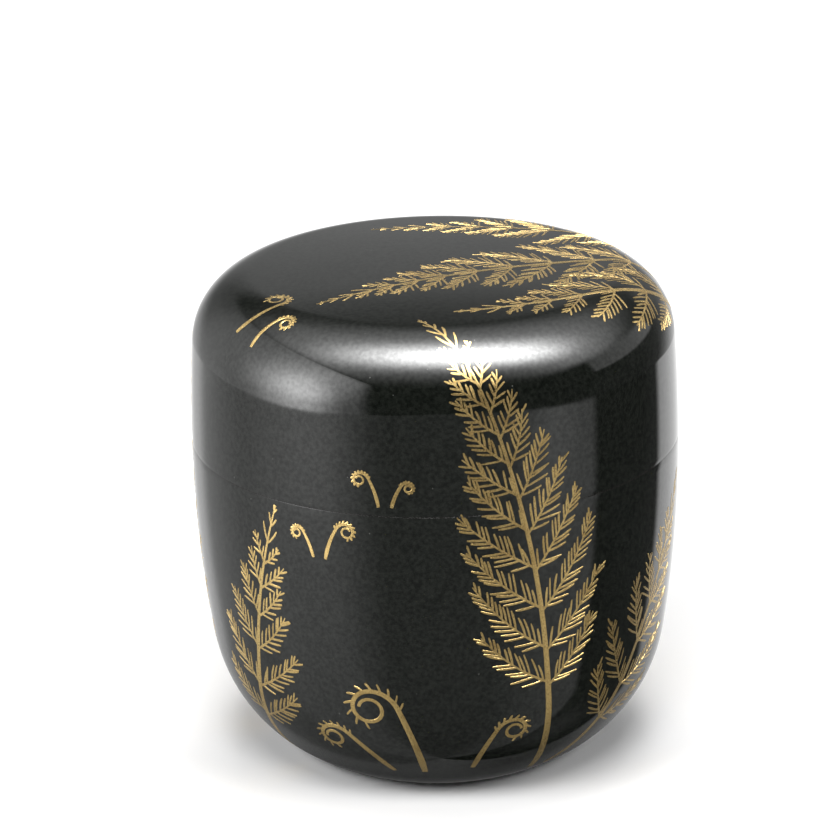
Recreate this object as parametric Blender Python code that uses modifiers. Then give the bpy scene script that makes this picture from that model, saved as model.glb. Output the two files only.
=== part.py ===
"""Lacquered tea caddy: a turned wooden lid and body, each coated outside and lined inside.

The lid drops over a thin upstand on the body and closes flush with the body's side.
Metres, +Z up. The origin is the centre of the foot, on the surface that the caddy stands on.
"""

import math
from dataclasses import dataclass

import bpy

# Outline of the closed caddy, measured over the outer lacquer.
TOTAL_HEIGHT = 0.0675
BELLY_RADIUS = 0.0330
BELLY_HEIGHT = 0.0410
CROWN_RADIUS = 0.2980
SHOULDER_RADIUS = 0.0094
UPPER_SIDE_RADIUS = 0.2530
LOWER_SIDE_RADIUS = 0.1640
FOOT_ROUND_RADIUS = 0.0217
FOOT_RADIUS = 0.0197

# Foot: a flat ring round a shallow recess.
FOOT_RING_WIDTH = 0.0020
FOOT_RECESS_DEPTH = 0.0005

# Joint between lid and body.
JOINT_HEIGHT = 0.0438
UPSTAND_HEIGHT = 0.0075
LID_CLEARANCE = 0.0003
SEAT_GAP = 0.0003

# Coats, and the gap that separates each coat from the wood under it.
OUTER_LACQUER = 0.0004
LINING_LACQUER = 0.0004
COAT_GAP = 0.0003

# Turned wood.
LID_WALL_WOOD = 0.0008
LID_TOP_WOOD = 0.0016
LID_INNER_ROUND_RADIUS = 0.0070
UPSTAND_WOOD = 0.0008
BASE_WOOD = 0.0020

# Fineness of the turned surfaces.
TURN_STEPS = 48
CROWN_STEPS = 2
SHOULDER_STEPS = 6
LID_SIDE_STEPS = 2
BODY_SIDE_STEPS = 3
FOOT_ROUND_STEPS = 6
MERGE_DISTANCE = 1e-6

# Where things seat, worked out from the sizes above.
LEDGE_HEIGHT = JOINT_HEIGHT - SEAT_GAP / 2
RIM_HEIGHT = JOINT_HEIGHT + SEAT_GAP / 2
UPSTAND_TOP = LEDGE_HEIGHT + UPSTAND_HEIGHT
CORE_DEPTH = OUTER_LACQUER + COAT_GAP
CORE_BACKING = LINING_LACQUER + COAT_GAP


@dataclass(frozen=True)
class Arc:
    """A round stretch of a profile: its centre and radius in the (r, z) plane."""

    r: float
    z: float
    radius: float

    def point(self, angle, depth=0.0):
        """Return the point at an angle above the horizontal, sunk by depth towards the centre."""
        reach = self.radius - depth
        return self.r + reach * math.cos(angle), self.z + reach * math.sin(angle)

    def points(self, start, end, steps, depth=0.0):
        """Return points from one angle to another, both ends included."""
        return [self.point(start + (end - start) * i / steps, depth) for i in range(steps + 1)]

    def angle_at_height(self, height, depth=0.0):
        """Return the angle at which the arc, sunk by depth, passes a height."""
        rise = (height - self.z) / (self.radius - depth)
        return math.asin(max(-1.0, min(1.0, rise)))

    def angle_towards(self, inner):
        """Return the angle at which a smaller arc touches this one from inside."""
        return math.atan2(inner.z - self.z, inner.r - self.r)


def circles_meet(r1, z1, radius1, r2, z2, radius2):
    """Return the two points where two circles cross."""
    apart = math.hypot(r2 - r1, z2 - z1)
    along = (radius1**2 - radius2**2 + apart**2) / (2 * apart)
    across = math.sqrt(radius1**2 - along**2)
    unit_r, unit_z = (r2 - r1) / apart, (z2 - z1) / apart
    foot_r, foot_z = r1 + along * unit_r, z1 + along * unit_z
    return [(foot_r - s * across * unit_z, foot_z + s * across * unit_r) for s in (1, -1)]


def round_between(first, second, radius):
    """Return the outer fillet that touches two arcs from inside."""
    crossings = circles_meet(
        first.r, first.z, first.radius - radius, second.r, second.z, second.radius - radius
    )
    centre = max(crossings)
    return Arc(*centre, radius)


def round_to_point(side, radius, point):
    """Return the arc that touches a side from inside and ends at a point below it."""
    crossings = circles_meet(side.r, side.z, side.radius - radius, *point, radius)
    centre = max(crossings, key=lambda crossing: crossing[1])
    return Arc(*centre, radius)


CROWN = Arc(0.0, TOTAL_HEIGHT - CROWN_RADIUS, CROWN_RADIUS)
UPPER_SIDE = Arc(BELLY_RADIUS - UPPER_SIDE_RADIUS, BELLY_HEIGHT, UPPER_SIDE_RADIUS)
LOWER_SIDE = Arc(BELLY_RADIUS - LOWER_SIDE_RADIUS, BELLY_HEIGHT, LOWER_SIDE_RADIUS)
SHOULDER = round_between(UPPER_SIDE, CROWN, SHOULDER_RADIUS)
FOOT_ROUND = round_to_point(LOWER_SIDE, FOOT_ROUND_RADIUS, (FOOT_RADIUS, 0.0))


def side_arc(height):
    """Return the side arc that passes a height."""
    return UPPER_SIDE if height >= BELLY_HEIGHT else LOWER_SIDE


def side_radius(height, depth=0.0):
    """Return the caddy's radius at a height, at a depth under the outer lacquer."""
    arc = side_arc(height)
    return arc.point(arc.angle_at_height(height, depth), depth)[0]


def side_points(top, bottom, depth, steps):
    """Return side points from top to bottom, with one on the belly if it lies between."""
    heights = [top + (bottom - top) * i / steps for i in range(steps + 1)]
    if bottom < BELLY_HEIGHT < top:
        heights.append(BELLY_HEIGHT)
    return [(side_radius(z, depth), z) for z in sorted(heights, reverse=True)]


def lid_outside(depth, rim_height):
    """Return the lid's outer profile at a depth, from the axis down to the rim."""
    crown_end = CROWN.angle_towards(SHOULDER)
    side_start = UPPER_SIDE.angle_towards(SHOULDER)
    crown = CROWN.points(math.pi / 2, crown_end, CROWN_STEPS, depth)
    crown[0] = (0.0, crown[0][1])
    shoulder = SHOULDER.points(crown_end, side_start, SHOULDER_STEPS, depth)
    side = side_points(shoulder[-1][1], rim_height, depth, LID_SIDE_STEPS)
    return crown + shoulder[1:] + side[1:]


def body_outside(depth, top_height):
    """Return the body's outer profile at a depth, from its top down and in to the axis."""
    foot_start = LOWER_SIDE.angle_towards(FOOT_ROUND)
    foot_end = FOOT_ROUND.angle_at_height(depth, depth)
    foot = FOOT_ROUND.points(foot_start, foot_end, FOOT_ROUND_STEPS, depth)
    side = side_points(top_height, foot[0][1], depth, BODY_SIDE_STEPS)
    recess_radius = FOOT_RADIUS - FOOT_RING_WIDTH + depth
    recess_height = FOOT_RECESS_DEPTH + depth
    recess = [(recess_radius, depth), (recess_radius, recess_height), (0.0, recess_height)]
    return side + foot[1:] + recess


# Radii of the lid's bore, the upstand and the mouth, outermost first.
LID_BORE_RADIUS = side_radius(UPSTAND_TOP, CORE_DEPTH + LID_WALL_WOOD + CORE_BACKING)
UPSTAND_RADIUS = LID_BORE_RADIUS - LID_CLEARANCE
MOUTH_RADIUS = UPSTAND_RADIUS - 2 * CORE_BACKING - UPSTAND_WOOD

# Inside of the lid.
CEILING = Arc(CROWN.r, CROWN.z, CROWN.radius - CORE_DEPTH - LID_TOP_WOOD - CORE_BACKING)
CORNER_RADIUS = LID_BORE_RADIUS - LID_INNER_ROUND_RADIUS
CORNER_RISE = math.sqrt((CEILING.radius - LID_INNER_ROUND_RADIUS) ** 2 - CORNER_RADIUS**2)
LID_CORNER = Arc(CORNER_RADIUS, CEILING.z + CORNER_RISE, LID_INNER_ROUND_RADIUS)

# Inside of the body: straight down from the mouth, then parallel to the outside.
FLOOR_HEIGHT = FOOT_RECESS_DEPTH + CORE_DEPTH + BASE_WOOD + CORE_BACKING
STRAIGHT_END = min(BELLY_HEIGHT, LEDGE_HEIGHT - CORE_BACKING)


def lid_inside(backing, rim_height):
    """Return the lid's inner profile, moved into the wood by backing, from rim to axis."""
    corner_end = CEILING.angle_towards(LID_CORNER)
    corner = LID_CORNER.points(0.0, corner_end, SHOULDER_STEPS, -backing)
    ceiling = CEILING.points(corner_end, math.pi / 2, CROWN_STEPS, -backing)
    ceiling[-1] = (0.0, ceiling[-1][1])
    return [(LID_BORE_RADIUS + backing, rim_height)] + corner + ceiling[1:]


def body_inside(backing):
    """Return the body's inner profile, moved into the wood by backing, from axis to mouth."""
    wall_radius = MOUTH_RADIUS + backing
    wall_depth = LOWER_SIDE.radius - math.hypot(
        wall_radius - LOWER_SIDE.r, STRAIGHT_END - LOWER_SIDE.z
    )
    floor_height = FLOOR_HEIGHT - backing
    corner_start = FOOT_ROUND.angle_at_height(floor_height, wall_depth)
    corner_end = LOWER_SIDE.angle_towards(FOOT_ROUND)
    corner = FOOT_ROUND.points(corner_start, corner_end, FOOT_ROUND_STEPS, wall_depth)
    wall = side_points(STRAIGHT_END, corner[-1][1], wall_depth, BODY_SIDE_STEPS)
    wall[0] = (wall_radius, STRAIGHT_END)
    mouth = [(wall_radius, UPSTAND_TOP - backing)]
    return [(0.0, floor_height)] + corner + wall[-2::-1] + mouth


def flange(height, direction, inner_radius):
    """Return the lining's turned-out edge over the wood, from its face round to its back."""
    back_height = height + direction * LINING_LACQUER
    edge_radius = side_radius(height, CORE_DEPTH)
    back_edge_radius = side_radius(back_height, CORE_DEPTH)
    return [(edge_radius, height), (back_edge_radius, back_height), (inner_radius, back_height)]


def lid_outer_profile():
    """Return the lid's outer lacquer."""
    inner_face = lid_outside(OUTER_LACQUER, RIM_HEIGHT)
    return lid_outside(0.0, RIM_HEIGHT) + inner_face[::-1]


def lid_core_profile():
    """Return the lid's turned wood."""
    rim_height = RIM_HEIGHT + CORE_BACKING
    return lid_outside(CORE_DEPTH, rim_height) + lid_inside(CORE_BACKING, rim_height)


def lid_lining_profile():
    """Return the lid's lining, which turns out under the rim."""
    back = lid_inside(LINING_LACQUER, RIM_HEIGHT + LINING_LACQUER)
    rim = flange(RIM_HEIGHT, 1, LID_BORE_RADIUS + LINING_LACQUER)
    return back[:0:-1] + rim[::-1] + lid_inside(0.0, RIM_HEIGHT)


def body_outer_profile():
    """Return the body's outer lacquer, with the foot ring and recess."""
    inner_face = body_outside(OUTER_LACQUER, LEDGE_HEIGHT)
    return inner_face[::-1] + body_outside(0.0, LEDGE_HEIGHT)


def body_core_profile():
    """Return the body's turned wood, with the upstand in one piece with it."""
    ledge_height = LEDGE_HEIGHT - CORE_BACKING
    upstand_radius = UPSTAND_RADIUS - CORE_BACKING
    upstand = [(upstand_radius, UPSTAND_TOP - CORE_BACKING), (upstand_radius, ledge_height)]
    return body_inside(CORE_BACKING) + upstand + body_outside(CORE_DEPTH, ledge_height)


def body_lining_profile():
    """Return the body's lining, which wraps over the upstand and out across the ledge."""
    face = body_inside(0.0) + [(UPSTAND_RADIUS, UPSTAND_TOP), (UPSTAND_RADIUS, LEDGE_HEIGHT)]
    back_radius = UPSTAND_RADIUS - LINING_LACQUER
    ledge = flange(LEDGE_HEIGHT, -1, back_radius)
    upstand_back = [(back_radius, UPSTAND_TOP - LINING_LACQUER)]
    return face + ledge + upstand_back + body_inside(LINING_LACQUER)[::-1]


def principled(name, colour, roughness, coat):
    """Return a material of one colour, roughness and clear coat."""
    material = bpy.data.materials.new(name)
    material.use_nodes = True
    shader = material.node_tree.nodes["Principled BSDF"]
    shader.inputs["Base Color"].default_value = (*colour, 1.0)
    shader.inputs["Roughness"].default_value = roughness
    shader.inputs["Metallic"].default_value = 0.0
    shader.inputs["Coat Weight"].default_value = coat
    return material


def black_lacquer(name):
    """Return polished black lacquer."""
    return principled(name, colour=(0.012, 0.013, 0.012), roughness=0.08, coat=1.0)


def turned_wood(name):
    """Return plain turned wood."""
    return principled(name, colour=(0.55, 0.36, 0.20), roughness=0.6, coat=0.0)


def empty(name, height, collection, parent=None):
    """Add an empty on the caddy's axis, at a height above the foot."""
    handle = bpy.data.objects.new(name, None)
    handle.location.z = height
    handle.parent = parent
    collection.objects.link(handle)
    return handle


def turned(name, profile, origin_height, material, collection, parent):
    """Turn a profile of (r, z) points, which runs down its outer side, about the Z axis."""
    mesh = bpy.data.meshes.new(name)
    points = [(r, 0.0, z - origin_height) for r, z in profile]
    edges = [(i, i + 1) for i in range(len(points) - 1)]
    mesh.from_pydata(points, edges, [])
    mesh.materials.append(material)
    piece = bpy.data.objects.new(name, mesh)
    piece.parent = parent
    collection.objects.link(piece)
    screw = piece.modifiers.new("turn", "SCREW")
    screw.axis = "Z"
    screw.angle = math.tau
    screw.screw_offset = 0.0
    screw.steps = TURN_STEPS
    screw.render_steps = TURN_STEPS
    screw.use_smooth_shade = True
    screw.use_merge_vertices = True
    screw.merge_threshold = MERGE_DISTANCE
    return piece


def clear_scene():
    """Remove the objects that a new scene starts with."""
    for thing in list(bpy.data.objects):
        bpy.data.objects.remove(thing, do_unlink=True)


def build_body(collection, root):
    """Add the body's wood, outer lacquer and lining."""
    wood = turned_wood("body_wood")
    outer = black_lacquer("body_outer_lacquer")
    lining = black_lacquer("body_lining_lacquer")
    turned("body_wood_core", body_core_profile(), 0.0, wood, collection, root)
    turned("body_outer_lacquer", body_outer_profile(), 0.0, outer, collection, root)
    turned("body_lining_lacquer", body_lining_profile(), 0.0, lining, collection, root)


def build_lid(collection, root):
    """Add the lid's wood, outer lacquer and lining, on an empty at the lid's rim."""
    lid = empty("lid", RIM_HEIGHT, collection, root)
    wood = turned_wood("lid_wood")
    outer = black_lacquer("lid_outer_lacquer")
    lining = black_lacquer("lid_lining_lacquer")
    turned("lid_wood_core", lid_core_profile(), RIM_HEIGHT, wood, collection, lid)
    turned("lid_outer_lacquer", lid_outer_profile(), RIM_HEIGHT, outer, collection, lid)
    turned("lid_lining_lacquer", lid_lining_profile(), RIM_HEIGHT, lining, collection, lid)


def main():
    """Build the caddy."""
    clear_scene()
    collection = bpy.data.collections.new("tea_caddy")
    bpy.context.scene.collection.children.link(collection)
    root = empty("tea_caddy", 0.0, collection)
    build_body(collection, root)
    build_lid(collection, root)


main()
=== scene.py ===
"""Looks of the lacquered tea caddy: polished black lacquer with a raised gold drawing of ferns.

Metres, +Z up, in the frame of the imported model: the caddy stands on z = 0 and is turned about Z.
Azimuths are in degrees from the front (-Y), positive to the viewer's right (+X).
"""

import logging
import math
from dataclasses import dataclass, field
from enum import Enum
from functools import cached_property

import bpy
import numpy as np
from mathutils import Matrix, Vector


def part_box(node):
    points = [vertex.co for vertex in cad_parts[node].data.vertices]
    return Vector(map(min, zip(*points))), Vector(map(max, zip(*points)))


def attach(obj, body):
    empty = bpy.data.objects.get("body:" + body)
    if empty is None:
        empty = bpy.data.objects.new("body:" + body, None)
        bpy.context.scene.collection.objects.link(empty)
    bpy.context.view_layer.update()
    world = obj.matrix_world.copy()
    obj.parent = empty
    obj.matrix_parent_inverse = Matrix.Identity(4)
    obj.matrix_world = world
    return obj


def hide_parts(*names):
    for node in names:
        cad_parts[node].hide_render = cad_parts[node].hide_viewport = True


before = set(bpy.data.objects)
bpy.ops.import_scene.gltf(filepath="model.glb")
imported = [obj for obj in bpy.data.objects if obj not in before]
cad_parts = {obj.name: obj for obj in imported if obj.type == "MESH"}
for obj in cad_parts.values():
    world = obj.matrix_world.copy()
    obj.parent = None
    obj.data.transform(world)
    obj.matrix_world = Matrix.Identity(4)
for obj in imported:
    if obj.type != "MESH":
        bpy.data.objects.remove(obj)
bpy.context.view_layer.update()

LOG = logging.getLogger("tea_caddy")
MM = 0.001
SEAT_GAP = 0.03 * MM
WELD = 0.001 * MM
FINE_WELD = 0.0001 * MM
SMOOTH_ANGLE = math.radians(40)
LEAST_SHARE = 0.001

Point = tuple[float, float]
Path = list[Point]
Colour = tuple[float, float, float]
Value = float | Colour | bpy.types.NodeSocket
Span = tuple[float, float]
Shape = tuple[tuple[float, ...], tuple[float, ...]]


class CadBody(Enum):
    """The two bodies of the frame that pieces ride on."""

    LID = "lid"
    BODY = "body"


class Slot(Enum):
    """The record's material slots."""

    OUTER_LACQUER = "outer_lacquer"
    LINING_LACQUER = "lining_lacquer"
    TURNED_WOOD = "turned_wood"
    GOLD_POWDER = "gold_powder"


class Side(Enum):
    """The side of a stem that a leaf leaves from, seen along the stem's growth."""

    LEFT = 1.0
    RIGHT = -1.0


# ---------------------------------------------------------------- outline


@dataclass(frozen=True)
class Arc:
    """A round stretch of a profile: its centre and radius in the (r, z) plane."""

    r: float
    z: float
    radius: float

    def point(self, angle: float, depth: float = 0.0) -> Point:
        """Find a point on the arc.

        Args:
            angle: Angle above the horizontal, in radians.
            depth: How far the point is sunk towards the centre.

        Returns:
            The point as (r, z).
        """
        reach = self.radius - depth
        return self.r + reach * math.cos(angle), self.z + reach * math.sin(angle)

    def points(self, start: float, end: float, steps: int, depth: float = 0.0) -> Path:
        """Find evenly spaced points from one angle to another, both included.

        Args:
            start: First angle, in radians.
            end: Last angle, in radians.
            steps: Number of equal steps between them.
            depth: How far the points are sunk towards the centre.

        Returns:
            The points as (r, z).
        """
        return [self.point(start + (end - start) * i / steps, depth) for i in range(steps + 1)]

    def angle_at_height(self, height: float, depth: float = 0.0) -> float:
        """Find the angle at which the arc passes a height.

        Args:
            height: Height above the foot.
            depth: How far the arc is sunk towards its centre.

        Returns:
            The angle in radians.
        """
        return math.asin(max(-1.0, min(1.0, (height - self.z) / (self.radius - depth))))

    def angle_towards(self, inner: "Arc") -> float:
        """Find the angle at which a smaller arc touches this one from inside.

        Args:
            inner: The smaller arc.

        Returns:
            The angle in radians.
        """
        return math.atan2(inner.z - self.z, inner.r - self.r)


def circles_meet(first: Arc, second: Arc) -> list[Point]:
    """Find where two circles cross.

    Args:
        first: One circle.
        second: The other circle.

    Returns:
        The two crossings as (r, z).
    """
    apart = math.hypot(second.r - first.r, second.z - first.z)
    along = (first.radius**2 - second.radius**2 + apart**2) / (2 * apart)
    across = math.sqrt(first.radius**2 - along**2)
    unit_r, unit_z = (second.r - first.r) / apart, (second.z - first.z) / apart
    foot_r, foot_z = first.r + along * unit_r, first.z + along * unit_z
    return [(foot_r - s * across * unit_z, foot_z + s * across * unit_r) for s in (1, -1)]


@dataclass(frozen=True)
class Outline:
    """The closed caddy's outer profile, a chain of tangent arcs, with its inner faces."""

    total_height: float
    belly_radius: float
    joint_height: float
    upstand_top: float
    belly_height: float = 41.0 * MM
    crown_radius: float = 298.0 * MM
    shoulder_radius: float = 9.4 * MM
    upper_side_radius: float = 253.0 * MM
    lower_side_radius: float = 164.0 * MM
    foot_round_radius: float = 21.7 * MM
    foot_radius: float = 19.7 * MM
    crown_steps: int = 36
    shoulder_steps: int = 40
    side_steps: int = 24
    foot_steps: int = 36

    @classmethod
    def of_frame(cls) -> "Outline":
        """Read the overall sizes from the frame's nodes.

        Returns:
            The outline.
        """
        lid_low, lid_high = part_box("lid_outer_lacquer")
        body_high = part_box("body_outer_lacquer")[1]
        return cls(
            total_height=lid_high[2],
            belly_radius=body_high[0],
            joint_height=(lid_low[2] + body_high[2]) / 2,
            upstand_top=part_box("body_lining_lacquer")[1][2],
        )

    @cached_property
    def crown(self) -> Arc:
        """Return the lid's nearly flat top."""
        return Arc(0.0, self.total_height - self.crown_radius, self.crown_radius)

    @cached_property
    def upper_side(self) -> Arc:
        """Return the side above the belly."""
        centre_r = self.belly_radius - self.upper_side_radius
        return Arc(centre_r, self.belly_height, self.upper_side_radius)

    @cached_property
    def lower_side(self) -> Arc:
        """Return the side below the belly."""
        centre_r = self.belly_radius - self.lower_side_radius
        return Arc(centre_r, self.belly_height, self.lower_side_radius)

    @cached_property
    def shoulder(self) -> Arc:
        """Work out the round between the crown and the side.

        Returns:
            The round, as an arc of the profile.
        """
        radius = self.shoulder_radius
        inside_side = Arc(self.upper_side.r, self.upper_side.z, self.upper_side.radius - radius)
        inside_crown = Arc(self.crown.r, self.crown.z, self.crown.radius - radius)
        return Arc(*max(circles_meet(inside_side, inside_crown)), radius)

    @cached_property
    def foot_round(self) -> Arc:
        """Work out the round between the side and the foot.

        Returns:
            The round, as an arc of the profile.
        """
        radius = self.foot_round_radius
        inside_side = Arc(self.lower_side.r, self.lower_side.z, self.lower_side.radius - radius)
        crossings = circles_meet(inside_side, Arc(self.foot_radius, 0.0, radius))
        return Arc(*max(crossings, key=lambda crossing: crossing[1]), radius)

    @cached_property
    def crown_end(self) -> float:
        """Return the angle at which the crown passes into the shoulder."""
        return self.crown.angle_towards(self.shoulder)

    @cached_property
    def shoulder_end(self) -> float:
        """Return the angle at which the shoulder passes into the side."""
        return self.upper_side.angle_towards(self.shoulder)

    @cached_property
    def foot_start(self) -> float:
        """Return the angle at which the side passes into the round over the foot."""
        return self.lower_side.angle_towards(self.foot_round)

    def side_radius(self, height: float, depth: float = 0.0) -> float:
        """Find the caddy's radius at a height of its side.

        Args:
            height: Height above the foot.
            depth: Depth under the surface.

        Returns:
            The radius.
        """
        arc = self.upper_side if height >= self.belly_height else self.lower_side
        return arc.point(arc.angle_at_height(height, depth), depth)[0]

    def side_path(self, top: float, bottom: float, depth: float = 0.0) -> Path:
        """Find points down the side.

        Args:
            top: Height of the first point.
            bottom: Height of the last point.
            depth: Depth under the surface.

        Returns:
            The points as (r, z).
        """
        heights = np.linspace(top, bottom, self.side_steps + 1)
        return [(self.side_radius(float(z), depth), float(z)) for z in heights]

    def lid_path(self, rim_height: float, depth: float = 0.0) -> Path:
        """Find points down the outside of the lid.

        Args:
            rim_height: Height of the last point.
            depth: Depth under the surface.

        Returns:
            The points as (r, z), from the axis to the rim.
        """
        crown = self.crown.points(math.pi / 2, self.crown_end, self.crown_steps, depth)
        crown[0] = (0.0, crown[0][1])
        shoulder = self.shoulder.points(
            self.crown_end, self.shoulder_end, self.shoulder_steps, depth
        )
        return crown + shoulder[1:] + self.side_path(shoulder[-1][1], rim_height, depth)[1:]

    def body_path(self, top_height: float, foot_height: float, depth: float = 0.0) -> Path:
        """Find points down the outside of the body.

        Args:
            top_height: Height of the first point.
            foot_height: Height of the last point.
            depth: Depth under the surface.

        Returns:
            The points as (r, z), from the top to the foot.
        """
        foot_end = self.foot_round.angle_at_height(foot_height, depth)
        foot = self.foot_round.points(self.foot_start, foot_end, self.foot_steps, depth)
        return self.side_path(top_height, foot[0][1], depth) + foot[1:]

    def project(self, points: np.ndarray) -> tuple[np.ndarray, np.ndarray]:
        """Move points onto the surface along its normals.

        Args:
            points: Points near the surface, with (x, y, z) along the last axis.

        Returns:
            The points on the surface, and the surface's normals there.
        """
        x, y, z = points[..., 0], points[..., 1], points[..., 2]
        r = np.maximum(np.hypot(x, y), 1e-9)

        def angle_about(arc: Arc) -> np.ndarray:
            """Return the angles of the points about an arc's centre."""
            return np.arctan2(z - arc.z, r - arc.r)

        on_crown = angle_about(self.crown) >= self.crown_end
        on_shoulder = angle_about(self.shoulder) >= self.shoulder_end
        on_upper_side = z >= self.belly_height
        on_lower_side = angle_about(self.lower_side) >= self.foot_start
        places = [on_crown, on_shoulder, on_upper_side, on_lower_side]
        arcs = [self.crown, self.shoulder, self.upper_side, self.lower_side]
        last = self.foot_round
        centre_r = np.select(places, [arc.r for arc in arcs], last.r)
        centre_z = np.select(places, [arc.z for arc in arcs], last.z)
        radius = np.select(places, [arc.radius for arc in arcs], last.radius)
        reach = np.hypot(r - centre_r, z - centre_z)
        normal_r, normal_z = (r - centre_r) / reach, (z - centre_z) / reach
        new_r = centre_r + radius * normal_r
        on = np.stack([new_r * x / r, new_r * y / r, centre_z + radius * normal_z], -1)
        normals = np.stack([normal_r * x / r, normal_r * y / r, normal_z], -1)
        return on, normals

    def spot(self, azimuth: float, along: float) -> np.ndarray:
        """Find a point of the surface.

        Args:
            azimuth: Degrees from the front, positive to the right.
            along: Distance from the lid's centre, measured down over the surface.

        Returns:
            The point as (x, y, z).
        """
        crown_length = (math.pi / 2 - self.crown_end) * self.crown.radius
        shoulder_length = (self.crown_end - self.shoulder_end) * self.shoulder.radius
        upper_length = self.shoulder_end * self.upper_side.radius
        lower_length = -self.foot_start * self.lower_side.radius
        stretches = [
            (self.crown, math.pi / 2, crown_length),
            (self.shoulder, self.crown_end, shoulder_length),
            (self.upper_side, self.shoulder_end, upper_length),
            (self.lower_side, 0.0, lower_length),
            (self.foot_round, self.foot_start, math.inf),
        ]
        for arc, start, length in stretches:
            if along <= length:
                break
            along -= length
        r, z = arc.point(start - along / arc.radius)
        turn = math.radians(azimuth)
        return np.array([r * math.sin(turn), -r * math.cos(turn), z])


def round_corners(path: Path, radii: dict[int, float], steps: int = 5) -> Path:
    """Round some corners of a profile.

    Args:
        path: The profile's points.
        radii: Radius of each rounded corner, by the corner's index in the path.
        steps: Number of steps in each round.

    Returns:
        The profile with each named corner replaced by an arc.
    """
    rounded: Path = []
    for i, corner in enumerate(path):
        if i not in radii:
            rounded.append(corner)
            continue
        here = Vector(corner)
        back = (Vector(path[i - 1]) - here).normalized()
        on = (Vector(path[i + 1]) - here).normalized()
        half = back.angle(on) / 2
        centre = here + (back + on).normalized() * (radii[i] / math.sin(half))
        first = here + back * (radii[i] / math.tan(half)) - centre
        last = here + on * (radii[i] / math.tan(half)) - centre
        for step in range(steps + 1):
            towards = first.slerp(last, step / steps).normalized()
            rounded.append(tuple(centre + towards * radii[i]))
    return rounded


# ---------------------------------------------------------------- node graphs


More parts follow.
